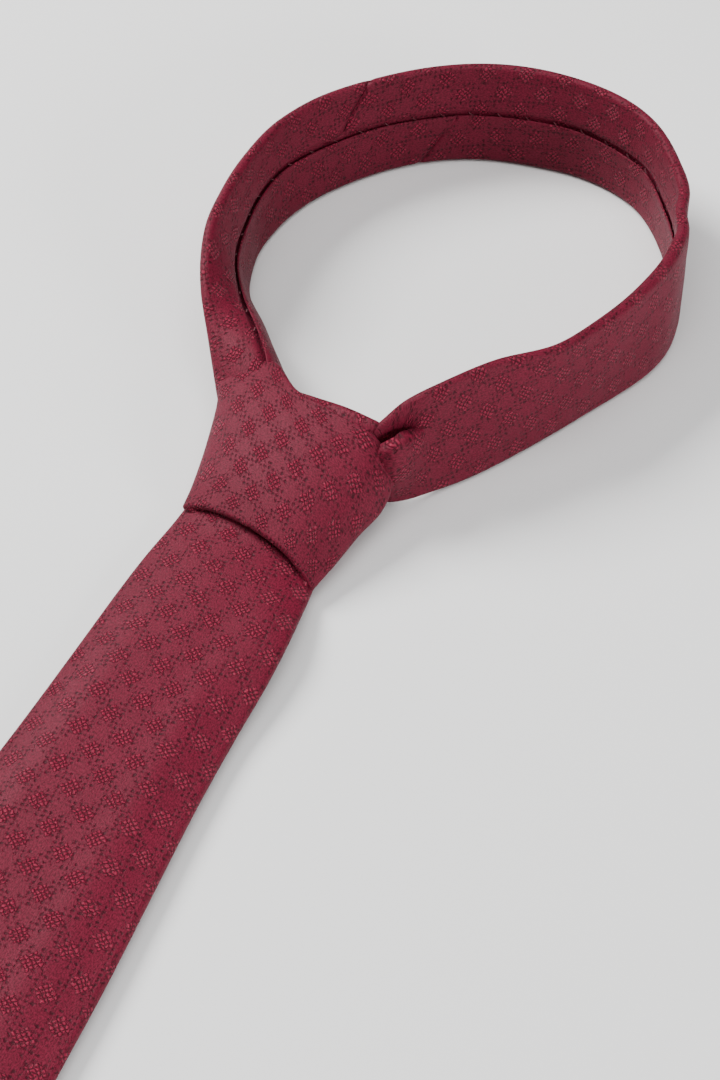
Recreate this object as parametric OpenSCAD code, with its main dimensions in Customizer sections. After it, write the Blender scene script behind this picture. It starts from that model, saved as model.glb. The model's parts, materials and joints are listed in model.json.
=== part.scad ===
// A tied necktie lying face up: knot, standing neck loop, wide blade and narrow tail.
// Y runs along the tie from the blade's tip to the back of the neck loop, Z is up,
// and the origin is the bottom centre of the whole tie on the surface it lies on.

/* [Blade] */
// Distance from the knot's lower edge to the blade's tip
blade_len = 470; // [420:1:500]
// Width of the blade where it leaves the knot
blade_w_knot = 45; // [38:0.5:48]
// Greatest width of the blade
blade_w_max = 82; // [70:1:90]
// Thickness of the folded blade
blade_t = 3.4; // [3:0.1:4]
// How far the blade's middle stands up over the tail
blade_crown = 5.3; // [5:0.1:6]

/* [Tail] */
// Distance from the knot's lower edge to the tail's tip
tail_len = 370; // [320:1:380]
// Width of the tail where it leaves the knot
tail_w_knot = 32; // [28:0.5:33]
// Greatest width of the tail
tail_w_max = 44; // [38:0.5:46]
// Thickness of the folded tail
tail_t = 3; // [2.8:0.1:3]
// How far the tail can be pulled out to tighten the knot
tail_travel = 40; // [10:1:40]

/* [Neck loop] */
// Thickness of the folded neck band
neck_t = 4; // [3.4:0.1:4.4]
// Number of sections along each half of the neck band
neck_steps = 26; // [16:1:32]

/* [Knot] */
// Thickness of one folded pass of cloth in the knot
pass_t = 3.4; // [3:0.1:3.4]
// Room between two passes
pass_gap = 0.5; // [0.4:0.1:0.6]
// Thickness of the pass that the knot lies on
back_t = 3.2; // [3:0.1:3.2]

/* [Keeper loop] */
// Distance from the knot's lower edge to the keeper loop
keeper_y = 300; // [260:1:320]
// Length of the keeper loop across the blade
keeper_w = 42; // [40:0.5:43]
// Width of the keeper loop's strip
keeper_d = 12; // [10:0.5:14]

/* [Hidden] */

// The knot's lower edge lies here in the part's frame
knot_x = -10.7;
knot_y = 139.1;

cloth_t = 0.9;
clear = 0.06;
thread_r = 0.3;

blade_start = 18;
blade_edge_z = blade_t / 2 + 0.1;
blade_taper_len = blade_len - blade_w_max / 2;
blade_point_w = 3;
blade_fold_open = 76;
tail_start = 7;
tail_taper_len = tail_len - tail_w_max / 2;
tail_point_w = 2;
tail_fold_open = 52;
tipping_t = 0.4;
keeper_t = 1;
keeper_z = tail_t + 0.6;
blade_under_z = blade_edge_z + blade_crown - blade_t / 2;

// Shares of a folded strip's width where its section has points, and its thickness there
STRIP_V = [0, 0.06, 0.28, 0.5, 0.72, 0.94, 1];
STRIP_T = [0.4, 1, 1, 1, 1, 1, 0.4];

// The neck band's upper edge, middle and lower edge, in the knot's own frame, from the knot's
// left side round to the bias seam, and from there to the knot's right side. Each curve runs
// from its second point to its last but one.
LEFT_TOP = [[-25, 37, 11], [-30.5, 47.5, 14], [-44.5, 65.5, 25], [-51.5, 83.5, 31], [-54, 100, 33],
            [-54, 118, 33], [-52.4, 135.6, 33], [-44, 153, 33], [-29, 171, 33], [-10, 184.5, 33]];
LEFT_MID = [[-17, 47, 18], [-21, 53, 19], [-37, 71.5, 20], [-47.5, 87.5, 18], [-52.5, 102, 17],
            [-53, 118, 17], [-51, 134, 17], [-43, 151, 17], [-30, 167, 17], [-12, 180, 17]];
LEFT_LOW = [[-19, 58, 9], [-23, 63, 8], [-37, 81, 4], [-45, 93, 1.5], [-49.3, 104.2, 0.3],
            [-50, 117.2, 0.3], [-48.4, 133, 0.3], [-41.4, 148.6, 0.3], [-30.8, 163.8, 0.3],
            [-13.6, 177.4, 0.3]];
RIGHT_TOP = [[-44, 153, 33], [-29, 171, 33], [-10, 184.5, 33], [10, 190, 33], [30, 188.7, 33],
             [49, 180, 33], [62.5, 164.5, 33], [70.5, 147.3, 33], [73.3, 131.5, 33],
             [72.8, 117, 33], [67.2, 96.3, 33], [59.5, 77.4, 34], [46.5, 62.5, 35], [36, 49, 35],
             [29, 40, 32], [21, 34, 28]];
RIGHT_MID = [[-43, 151, 17], [-30, 167, 17], [-12, 180, 17], [8, 186, 17], [28, 186.5, 17],
             [48, 178.5, 17], [62, 163, 17], [70.7, 146.5, 17], [74.5, 131, 17], [74.6, 116.5, 17],
             [68.8, 97, 17], [60, 78.7, 17], [49, 62, 17], [39, 48, 17], [31, 38.6, 17],
             [23, 32, 17]];
RIGHT_LOW = [[-41.4, 148.6, 0.3], [-30.8, 163.8, 0.3], [-13.6, 177.4, 0.3], [7, 184, 0.3],
             [26, 185.3, 0.3], [47.3, 178.6, 0.3], [62, 161.5, 0.3], [70.3, 145.6, 0.3],
             [74.8, 130.5, 0.3], [75.2, 115.4, 0.3], [69.2, 97.6, 0.3], [60.2, 80.3, 0.3],
             [51.2, 62.2, 0.3], [41.2, 47.8, 0.3], [33, 36.4, 2], [25, 30, 4]];

// Shares of the two halves' length where the loop's body parts from the knot
left_part = 0.06;
right_part = 0.93;

// The knot's outline: distance along the tie, middle, half width and height
KNOT = [[-12, 2, 22, 11.5], [0, 2.5, 22.5, 13], [12, 2, 24.5, 17.5], [24, 1, 27, 22],
        [33, 0.5, 28.5, 25.5], [40, 0, 28, 27.5]];
knot_slant = -0.26;
arch_steps = 14;

function ease(t) = t * t * (3 - 2 * t);
function clamp(t, lo, hi) = max(lo, min(hi, t));
function unit(v) = v / norm(v);
function mix(a, b, t) = a + (b - a) * t;

// A smooth curve through points, by share of its length from its second to its last but one
function curve(points, share) =
    let (runs = len(points) - 3, at = clamp(share, 0, 1) * runs, i = min(floor(at), runs - 1), t = at - i,
         a = points[i], b = points[i + 1], c = points[i + 2], d = points[i + 3])
    0.5 * (2 * b + (c - a) * t + (2 * a - 5 * b + 4 * c - d) * t * t + (3 * b - a - 3 * c + d) * t * t * t);

// Straight runs between rows of a table whose first column is the distance
function row_at(table, y, i = 0) =
    i >= len(table) - 2 || y < table[i + 1][0]
        ? mix(table[i], table[i + 1], (y - table[i][0]) / (table[i + 1][0] - table[i][0]))
        : row_at(table, y, i + 1);

// A closed solid through rings of points whose first half is one face and second half the other
module loft(rings) {
    n = len(rings[0]);
    m = len(rings);
    sides = [for (i = [0:m - 2]) for (j = [0:n - 1]) each [
        [i * n + j, i * n + (j + 1) % n, (i + 1) * n + (j + 1) % n],
        [i * n + j, (i + 1) * n + (j + 1) % n, (i + 1) * n + j]]];
    first = [for (j = [0:n / 2 - 2]) each [[j, n - 1 - j, n - 2 - j], [j, n - 2 - j, j + 1]]];
    last = [for (f = first) [for (k = [2:-1:0]) (m - 1) * n + f[k]]];
    polyhedron(points = [for (r = rings) each r], faces = concat(sides, first, last), convexity = 8);
}

// The same with a hollow inside it, open at its last end, and at its first end too unless blind
module hollow(outer, inner, blind = false) {
    n = len(outer[0]);
    out_last = (len(outer) - 1) * n;
    in_first = len(outer) * n;
    in_last = in_first + (len(inner) - 1) * n;
    sides = [for (i = [0:len(outer) - 2]) for (j = [0:n - 1]) each [
        [i * n + j, i * n + (j + 1) % n, (i + 1) * n + (j + 1) % n],
        [i * n + j, (i + 1) * n + (j + 1) % n, (i + 1) * n + j]]];
    walls = [for (i = [0:len(inner) - 2]) let (s = in_first + i * n) for (j = [0:n - 1]) each [
        [s + j, s + n + (j + 1) % n, s + (j + 1) % n],
        [s + j, s + n + j, s + n + (j + 1) % n]]];
    mouth = [for (j = [0:n - 1]) each [
        [out_last + j, out_last + (j + 1) % n, in_last + (j + 1) % n],
        [out_last + j, in_last + (j + 1) % n, in_last + j]]];
    cap = [for (j = [0:n / 2 - 2]) each [[j, n - 1 - j, n - 2 - j], [j, n - 2 - j, j + 1]]];
    far = blind
        ? concat(cap, [for (f = cap) [in_first + f[0], in_first + f[2], in_first + f[1]]])
        : [for (j = [0:n - 1]) each [
            [(j + 1) % n, j, in_first + j],
            [(j + 1) % n, in_first + j, in_first + (j + 1) % n]]];
    polyhedron(points = [for (r = concat(outer, inner)) each r],
               faces = concat(sides, walls, mouth, far), convexity = 8);
}

module in_place() {
    translate([knot_x, knot_y, 0]) children();
}

// ---- knot ----

// One face of an arched pass at one section, from left to right, at a depth below the knot's outline
function arch_side(row, off, base) =
    [for (i = [0:arch_steps]) let (a = 180 * (1 - i / arch_steps), c = cos(a), s = max(0, sin(a)))
        let (x = sign(c) * pow(abs(c), 0.8) * (row[2] - off))
        [row[1] + x, row[0] + knot_slant * x, base + pow(s, 0.8) * (row[3] - off - base)]];

function reversed(list) = [for (i = [len(list) - 1:-1:0]) list[i]];

function arch_ring(y, off, t, base) =
    concat(arch_side(row_at(KNOT, y), off + t, base), reversed(arch_side(row_at(KNOT, y), off, base)));

module arch(y_from, y_to, off, t, base, steps = 8) {
    loft([for (i = [0:steps]) arch_ring(mix(y_from, y_to, i / steps), off, t, base)]);
}

module knot_back_wrap() {
    color("firebrick") in_place() linear_extrude(back_t)
        polygon([[-19, 5], [24, -7], [29, 22], [27, 30], [-24, 44], [-26, 38]]);
}

module knot_front_wrap() {
    color("brown") in_place() arch(0, 40, 0, pass_t, back_t + 0.2);
}

module knot_blade_pass() {
    step = pass_t + pass_gap;
    color("firebrick") in_place() arch(-12, 39, step, pass_t, back_t + 0.2, 12);
}

module knot_first_cross() {
    color("brown") in_place() arch(16, 38, 2 * (pass_t + pass_gap), pass_t, back_t + 0.2, 5);
}

// The tail's own run through the knot fills the middle of the arches
module knot_tail_pass() {
    inset = 3 * (pass_t + pass_gap);
    base = back_t + 0.2;
    color("firebrick") in_place() loft([for (y = [-10, 0, 10, 15]) tail_pass_ring(y, 2 * inset / 3, base, 3),
        for (y = [15.5, 24, 31, 37.5]) tail_pass_ring(y, inset, base, 12)]);
}

function tail_pass_ring(y, inset, base, rise) =
    let (r = row_at(KNOT, y), w = r[2] - inset - 0.4, top = min(base + rise, r[3] - inset - 0.4), s = knot_slant)
    reversed([[r[1] - w, y - s * w, base], [r[1] - 0.8 * w, y - s * 0.8 * w, mix(base, top, 0.6)],
     [r[1] - 0.45 * w, y - s * 0.45 * w, top], [r[1] + 0.45 * w, y + s * 0.45 * w, top],
     [r[1] + 0.8 * w, y + s * 0.8 * w, mix(base, top, 0.6)], [r[1] + w, y + s * w, base],
     [r[1] + 0.5 * w, y + s * 0.5 * w, base], [r[1] + 0.2 * w, y + s * 0.2 * w, base],
     [r[1], y, base], [r[1] - 0.2 * w, y - s * 0.2 * w, base],
     [r[1] - 0.5 * w, y - s * 0.5 * w, base], [r[1] - 0.9 * w, y - s * 0.9 * w, base]]);

// The pass that rises behind the knot and goes over its upper end
module knot_over_top_pass() {
    color("brown") in_place() loft([for (y = [40.6, 42.5, 44]) over_top_ring(y, (y - 40.6) * 0.5)]);
}

function over_top_ring(y, shrink) =
    let (mid = 7, w = 14 - shrink, side = [for (i = [0:8]) let (a = 180 * (1 - i / 8), x = mid + w * cos(a))
        [x, y + knot_slant * x, back_t + 8 + (14 - shrink) * max(0, sin(a))]])
    concat([for (i = [0:8]) let (x = mid + w * cos(180 * (1 - i / 8)))
        [x, y + knot_slant * x, back_t + 0.2]], reversed(side));

// ---- neck loop ----

// The middle line of the band's section at a share of its length and of its width
function neck_point(rails, share, v) =
    let (a = curve(rails[0], share), b = curve(rails[1], share), c = curve(rails[2], share))
    a * (2 * (v - 0.5) * (v - 1)) + b * (4 * v * (1 - v)) + c * (2 * v * (v - 0.5));

function neck_normal(rails, share, v) =
    let (d = 0.01, along = neck_point(rails, share + d, v) - neck_point(rails, share - d, v),
         across = neck_point(rails, share, v + d) - neck_point(rails, share, v - d))
    unit(cross(along, across));

function neck_side(rails, share, half, v_in) =
    [for (i = [0:len(STRIP_V) - 1]) let (v = mix(v_in, 1 - v_in, STRIP_V[i]))
        neck_point(rails, share, v) + neck_normal(rails, clamp(share, 0.02, 0.98), v) * half * STRIP_T[i]];

function neck_ring(rails, share, half, v_in) =
    concat(neck_side(rails, share, half, v_in), reversed(neck_side(rails, share, -half, v_in)));

function neck_rings(rails, from, to, half, v_in, steps = neck_steps) =
    [for (i = [0:steps]) neck_ring(rails, mix(from, to, i / steps), half, v_in)];

LEFT = [LEFT_TOP, LEFT_MID, LEFT_LOW];
RIGHT = [RIGHT_TOP, RIGHT_MID, RIGHT_LOW];
neck_core_in = 0.07;

module neck_shell(rails, from, to) {
    color("firebrick") in_place()
        hollow(neck_rings(rails, from, to, neck_t / 2, 0),
               neck_rings(rails, from, to, neck_t / 2 - cloth_t, neck_core_in - 0.004));
}

module neck_interlining(rails, from, to) {
    color("ivory") in_place() loft(neck_rings(rails, from, to, neck_t / 2 - cloth_t - clear, neck_core_in));
}

module neck_shell_left() {
    neck_shell(LEFT, left_part, 0.998);
}

module neck_shell_right() {
    neck_shell(RIGHT, 0.002, right_part);
}

module neck_interlining_left() {
    neck_interlining(LEFT, left_part, 0.998);
}

module neck_interlining_right() {
    neck_interlining(RIGHT, 0.002, right_part);
}

// The thread that closes the band's back, along its middle inside the loop
function thread_ring(rails, share, side) =
    let (c = curve(rails[1], share) + side * neck_normal(rails, clamp(share, 0.02, 0.98), 0.5)
             * (neck_t / 2 + thread_r + 0.14),
         n = neck_normal(rails, clamp(share, 0.02, 0.98), 0.5))
    [for (i = [0:5]) c + thread_r * (n * cos(60 * i) - [0, 0, 1] * sin(60 * i))];

module neck_slip_stitch() {
    color("maroon") in_place() union() {
        loft([for (i = [0:neck_steps]) thread_ring(LEFT, mix(left_part + 0.02, 0.98, i / neck_steps), -1)]);
        loft([for (i = [0:neck_steps]) thread_ring(RIGHT, mix(0.02, right_part - 0.02, i / neck_steps), -1)]);
    }
}

// The short runs of the band between the loop and the knot, which stay with the knot
module neck_root_left() {
    color("firebrick") in_place() loft(neck_rings(LEFT, 0.01, left_part - 0.01, neck_t / 2, 0, 2));
}

module neck_root_right() {
    color("firebrick") in_place() loft(neck_rings(RIGHT, right_part + 0.008, 0.99, neck_t / 2, 0, 4));
}

// ---- blade ----

// Half the blade's width and its crown at a distance below the knot
function blade_half(d) =
    let (s = clamp((d - blade_start) / (blade_taper_len - blade_start), 0, 1))
    d <= blade_taper_len
        ? mix(blade_w_knot, blade_w_max, 1.2 * s - 0.2 * s * s) / 2
        : mix(blade_w_max / 2, blade_point_w / 2, (d - blade_taper_len) / (blade_len - blade_taper_len));

function tail_half(d) =
    mix(tail_w_knot, tail_w_max, clamp((d - tail_start) / (tail_taper_len - tail_start), 0, 1)) / 2;

tail_reach = tail_len + tail_travel;
function blade_rise(d) = blade_crown * ease(clamp((tail_reach + 28 - d) / 26, 0, 1));

function blade_mid_z(d, x) =
    let (flat = tail_half(d) + 1.6, edge = max(blade_half(d) - 0.8, flat + 2.5))
    blade_edge_z + blade_rise(d) * (1 - ease(clamp((abs(x) - flat) / (edge - flat), 0, 1)));

// Shares of half the blade's width where its section has points, closer together near its edges
BLADE_V = [-1, -0.95, -0.86, -0.77, -0.68, -0.45, 0, 0.45, 0.68, 0.77, 0.86, 0.95, 1];

function blade_ring(d, low, high, half) =
    let (h = max(half, 0.3), last = len(BLADE_V) - 1,
         f = [for (i = [0:last]) i == 0 || i == last ? 0.4 : 1])
    concat([for (i = [0:last]) [BLADE_V[i] * h, -d, blade_mid_z(d, BLADE_V[i] * h) + low * f[i]]],
           [for (i = [last:-1:0]) [BLADE_V[i] * h, -d, blade_mid_z(d, BLADE_V[i] * h) + high * f[i]]]);

// Distances below the knot that every layer of the blade has sections at
layer_end = blade_len - 7;
BLADE_STOPS = concat([for (i = [0:25]) mix(blade_start, blade_taper_len, i / 26)],
                     [for (i = [0:6]) mix(blade_taper_len, layer_end, i / 6)]);

function blade_rings(stops, low, high, in) =
    [for (d = reversed(stops)) blade_ring(d, low, high, blade_half(d) - in)];

// The lining fills the back of the point, under the folded edges, and shows where they part
tipping_top = blade_len - blade_fold_open;

module blade_shell() {
    half = blade_t / 2;
    color("firebrick") in_place() hollow(
        blade_rings(concat(BLADE_STOPS, blade_len), -half, half, 0),
        blade_rings(concat(BLADE_STOPS, layer_end + 1), -half + cloth_t, half - cloth_t, 2), blind = true);
}

module blade_interlining() {
    half = blade_t / 2 - cloth_t - clear;
    color("ivory") in_place() loft(blade_rings(BLADE_STOPS, -half + tipping_t + 4 * clear, half, 2.2));
}

// The lining lies between the interlining and the back of the shell
module blade_tipping() {
    low = -blade_t / 2 + cloth_t + 2 * clear;
    stops = [for (d = BLADE_STOPS) if (d > tipping_top) d];
    color("maroon") in_place() loft(blade_rings(stops, low, low + tipping_t - 3 * clear, 3));
}

module along_blade(from, to, z, r) {
    translate([0, -from, z]) rotate([90, 0, 0]) cylinder(h = to - from, r = r, $fn = 24);
}

module blade_slip_stitch() {
    color("maroon") in_place()
        along_blade(blade_start + 2, blade_len - blade_fold_open - 4, blade_under_z - thread_r - 0.05, thread_r);
}

module blade_bar_tack() {
    color("maroon") in_place() translate([-3.5, -(blade_len - blade_fold_open - 2), blade_under_z - 0.45])
        rotate([0, 90, 0]) cylinder(h = 7, r = 0.4, $fn = 24);
}

module keeper_loop() {
    color("firebrick") in_place() translate([0, -keeper_y, keeper_z]) rotate([90, 0, 0])
        translate([0, 0, -keeper_d / 2]) linear_extrude(keeper_d) difference() {
            translate([-keeper_w / 2, 0]) square([keeper_w, blade_under_z - 0.25 - keeper_z]);
            translate([-keeper_w / 2 + 3, keeper_t]) square([keeper_w - 6, 3]);
        }
}

// Two short rows of stitches that hold the keeper loop's ends
module keeper_tacks() {
    color("maroon") in_place() for (side = [-1, 1])
        translate([side * (keeper_w / 2 + 0.5), -keeper_y + keeper_d / 2 - 1, blade_under_z - 0.7])
            rotate([90, 0, 0]) cylinder(h = keeper_d - 2, r = 0.35, $fn = 24);
}

// ---- tail ----

module tail_outline(in, mouth = 0) {
    offset_w = tail_w_max / 2 - in;
    top_w = tail_w_knot / 2 - in;
    polygon([[-top_w, mouth - tail_start], [-offset_w, -tail_taper_len], [-tail_point_w / 2, -tail_len + 1.4 * in],
             [tail_point_w / 2, -tail_len + 1.4 * in], [offset_w, -tail_taper_len], [top_w, mouth - tail_start]]);
}

module tail_tipping_outline(grow) {
    polygon([[0, -(tail_len - tail_fold_open) + grow], [tail_w_max / 2 - 5 + grow, -tail_taper_len - 2],
             [0, -tail_len + 5 - grow], [-tail_w_max / 2 + 5 - grow, -tail_taper_len - 2]]);
}

module tail_shell() {
    color("firebrick") in_place() difference() {
        linear_extrude(tail_t) tail_outline(0);
        translate([0, 0, cloth_t]) linear_extrude(tail_t - 2 * cloth_t) tail_outline(2, 1);
        translate([0, 0, -1]) linear_extrude(1 + tipping_t + clear) tail_tipping_outline(clear);
        translate([-0.5, -(tail_len - tail_fold_open), -1]) cube([1, tail_len - tail_fold_open, 1 + 0.75]);
        translate([-4, -(tail_len - tail_fold_open) - 1, -1]) cube([8, 2.4, 1 + 0.85]);
    }
}

module tail_interlining() {
    color("ivory") in_place() translate([0, 0, cloth_t + clear])
        linear_extrude(tail_t - 2 * (cloth_t + clear)) tail_outline(2.2);
}

module tail_tipping() {
    color("maroon") in_place() difference() {
        linear_extrude(tipping_t) tail_tipping_outline(0);
        translate([-4, -(tail_len - tail_fold_open) - 1, -1]) cube([8, 2.4, 3]);
    }
}

module tail_slip_stitch() {
    color("maroon") in_place()
        along_blade(tail_start + 2, tail_len - tail_fold_open - 3, thread_r + 0.1, thread_r);
}

module tail_bar_tack() {
    color("maroon") in_place() translate([-3.5, -(tail_len - tail_fold_open) + 0.2, 0.4])
        rotate([0, 90, 0]) cylinder(h = 7, r = 0.35, $fn = 24);
}

knot_back_wrap();
knot_front_wrap();
knot_blade_pass();
knot_first_cross();
knot_tail_pass();
knot_over_top_pass();
neck_root_left();
neck_root_right();
neck_shell_left();
neck_shell_right();
neck_interlining_left();
neck_interlining_right();
neck_slip_stitch();
blade_shell();
blade_interlining();
blade_tipping();
blade_slip_stitch();
blade_bar_tack();
keeper_loop();
keeper_tacks();
tail_shell();
tail_interlining();
tail_tipping();
tail_slip_stitch();
tail_bar_tack();
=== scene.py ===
"""A tied necktie lying face up. The folded strips are built in the knot's own frame, in
millimetres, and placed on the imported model, which is in metres."""

import json
import math

import bpy
import numpy as np
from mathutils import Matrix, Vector


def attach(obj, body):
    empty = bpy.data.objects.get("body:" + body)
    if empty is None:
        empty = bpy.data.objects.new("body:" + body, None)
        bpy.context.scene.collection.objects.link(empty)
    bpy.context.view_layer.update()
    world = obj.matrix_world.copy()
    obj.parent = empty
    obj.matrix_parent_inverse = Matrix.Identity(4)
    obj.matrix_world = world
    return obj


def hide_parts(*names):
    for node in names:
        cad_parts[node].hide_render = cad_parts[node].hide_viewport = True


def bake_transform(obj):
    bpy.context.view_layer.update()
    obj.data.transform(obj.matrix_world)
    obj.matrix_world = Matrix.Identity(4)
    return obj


MM = 0.001

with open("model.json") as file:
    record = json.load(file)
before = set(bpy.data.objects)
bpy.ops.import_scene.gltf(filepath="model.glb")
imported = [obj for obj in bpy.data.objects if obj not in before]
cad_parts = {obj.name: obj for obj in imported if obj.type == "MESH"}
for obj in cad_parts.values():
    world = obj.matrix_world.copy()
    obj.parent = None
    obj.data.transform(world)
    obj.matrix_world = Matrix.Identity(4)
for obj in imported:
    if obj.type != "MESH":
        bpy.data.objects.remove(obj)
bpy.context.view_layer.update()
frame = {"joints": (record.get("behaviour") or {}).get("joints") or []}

# The knot's lower edge is this far up the tie from the blade's hinge
HINGE_TO_KNOT = 18
hinge = next(j for j in frame["joints"] if j["name"] == "blade_lift")["pos_m"]
KNOT_AT = np.array([hinge[0], hinge[1] + HINGE_TO_KNOT * MM, 0])


def placed(points):
    """Points in the knot's frame, in millimetres, as points in the row frame, in metres."""
    return np.asarray(points, float) * MM + KNOT_AT


# ---- camera, floor and light ----

# The camera's place in the knot's frame, in millimetres, and the way it looks
CAMERA_AT = (215.4, -398.7, 496.8)
CAMERA_LOOKS = (-0.2796, 0.6164, -0.7361)
LENS_MM = 83.33

camera = bpy.data.objects.new("camera", bpy.data.cameras.new("camera"))
camera.data.lens = LENS_MM
camera.data.sensor_width = 36
camera.data.clip_start = 0.01
camera.location = placed(CAMERA_AT)
camera.rotation_euler = Vector(CAMERA_LOOKS).to_track_quat("-Z", "Y").to_euler()
bpy.context.scene.collection.objects.link(camera)
bpy.context.scene.camera = camera

FLOOR_SIZE = 6.0
FLOOR_COLOUR = (0.84, 0.84, 0.84)
# Each light's name, place and aim in metres, size in metres, power in watts and colour
LIGHTS = [
    ("key", (-1.16, 0.4, 1.08), (0.0, 0.0, 0.0), 0.7, 46, (1.0, 0.99, 0.98)),
    ("top", (0.15, -0.2, 1.9), (0.0, 0.0, 0.0), 1.8, 30, (1.0, 1.0, 1.0)),
    ("fill", (1.3, -0.32, 0.42), (0.03, 0.2, 0.02), 0.5, 16, (1.0, 1.0, 1.0)),
]
WORLD_LIGHT = 0.21


def area_light(name, at, aim, size, power, colour):
    lamp = bpy.data.lights.new(name, "AREA")
    lamp.size = size
    lamp.energy = power
    lamp.color = colour
    lamp_object = bpy.data.objects.new(name, lamp)
    lamp_object.location = at
    lamp_object.rotation_euler = (Vector(aim) - Vector(at)).to_track_quat("-Z", "Y").to_euler()
    bpy.context.scene.collection.objects.link(lamp_object)


for light in LIGHTS:
    area_light(*light)

world = bpy.data.worlds.new("studio")
world.use_nodes = True
world.node_tree.nodes["Background"].inputs["Color"].default_value = (1, 1, 1, 1)
world.node_tree.nodes["Background"].inputs["Strength"].default_value = WORLD_LIGHT
bpy.context.scene.world = world


# ---- materials ----


class Shade:
    """A material whose nodes are added by short calls. A value is a number or a node's output."""

    def __init__(self, name):
        self.material = bpy.data.materials.new(name)
        self.material.use_nodes = True
        self.tree = self.material.node_tree
        self.surface = self.tree.nodes["Principled BSDF"]

    def put(self, socket, value):
        if isinstance(value, bpy.types.NodeSocket):
            self.tree.links.new(value, socket)
        else:
            socket.default_value = value

    def math(self, operation, *values):
        node = self.tree.nodes.new("ShaderNodeMath")
        node.operation = operation
        for socket, value in zip(node.inputs, values):
            self.put(socket, value)
        return node.outputs[0]

    def mix(self, share, a, b):
        node = self.tree.nodes.new("ShaderNodeMix")
        node.data_type = "RGBA"
        self.put(node.inputs["Factor"], share)
        self.put(node.inputs["A"], a)
        self.put(node.inputs["B"], b)
        return node.outputs["Result"]

    def noise(self, place, scale, detail=2.0, roughness=0.5):
        node = self.tree.nodes.new("ShaderNodeTexNoise")
        node.inputs["Scale"].default_value = scale
        node.inputs["Detail"].default_value = detail
        node.inputs["Roughness"].default_value = roughness
        self.put(node.inputs["Vector"], place)
        return node.outputs["Fac"]

    def stretched(self, place, scale):
        node = self.tree.nodes.new("ShaderNodeMapping")
        node.inputs["Scale"].default_value = scale
        self.put(node.inputs["Vector"], place)
        return node.outputs["Vector"]

    def spread(self, value, low, high):
        """A value from 0 to 1, spread from low to high."""
        return self.math("MULTIPLY_ADD", value, high - low, low)

    def cloth(self):
        """Where a point lies on the cloth, in metres across and along it."""
        node = self.tree.nodes.new("ShaderNodeUVMap")
        node.uv_map = "cloth"
        return node.outputs["UV"]

    def parts(self, place):
        node = self.tree.nodes.new("ShaderNodeSeparateXYZ")
        self.put(node.inputs["Vector"], place)
        return node.outputs["X"], node.outputs["Y"]

    def bump(self, height, depth, under=None):
        node = self.tree.nodes.new("ShaderNodeBump")
        node.inputs["Distance"].default_value = depth
        self.put(node.inputs["Height"], height)
        if under:
            self.put(node.inputs["Normal"], under)
        return node.outputs["Normal"]

    def finish(self, colour, roughness, normal, **settings):
        self.put(self.surface.inputs["Base Color"], colour)
        self.put(self.surface.inputs["Roughness"], roughness)
        self.put(self.surface.inputs["Normal"], normal)
        for name, value in settings.items():
            self.surface.inputs[name.replace("_", " ")].default_value = value
        return self.material


SATIN = (0.158, 0.0078, 0.027, 1)
SATIN_SHADE = (0.046, 0.0022, 0.0075, 1)
# A float's top is the thread's colour brightened by a painted highlight. The gaps between floats and the
# small dents are painted shadow.
FLOAT_THREAD_AND_HIGHLIGHT = (0.300, 0.018, 0.051, 1)
FLOAT_GAP_SHADOW = (0.012, 0.001, 0.0025, 1)
SHEEN_TINT = (0.95, 0.45, 0.55, 1)
FLOAT_PITCH = 1.08 * MM
REPEAT_FLOATS = 8
BIAS = math.radians(50)
# How far the weave strays from straight, in floats, and how strongly the painted shadow in its small dents
# shows
WEAVE_WANDER = 1.7
MARK_LIMIT = 0.8
FLOAT_HEIGHT = 0.34 * MM
GRAIN_HEIGHT = 0.11 * MM


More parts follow.
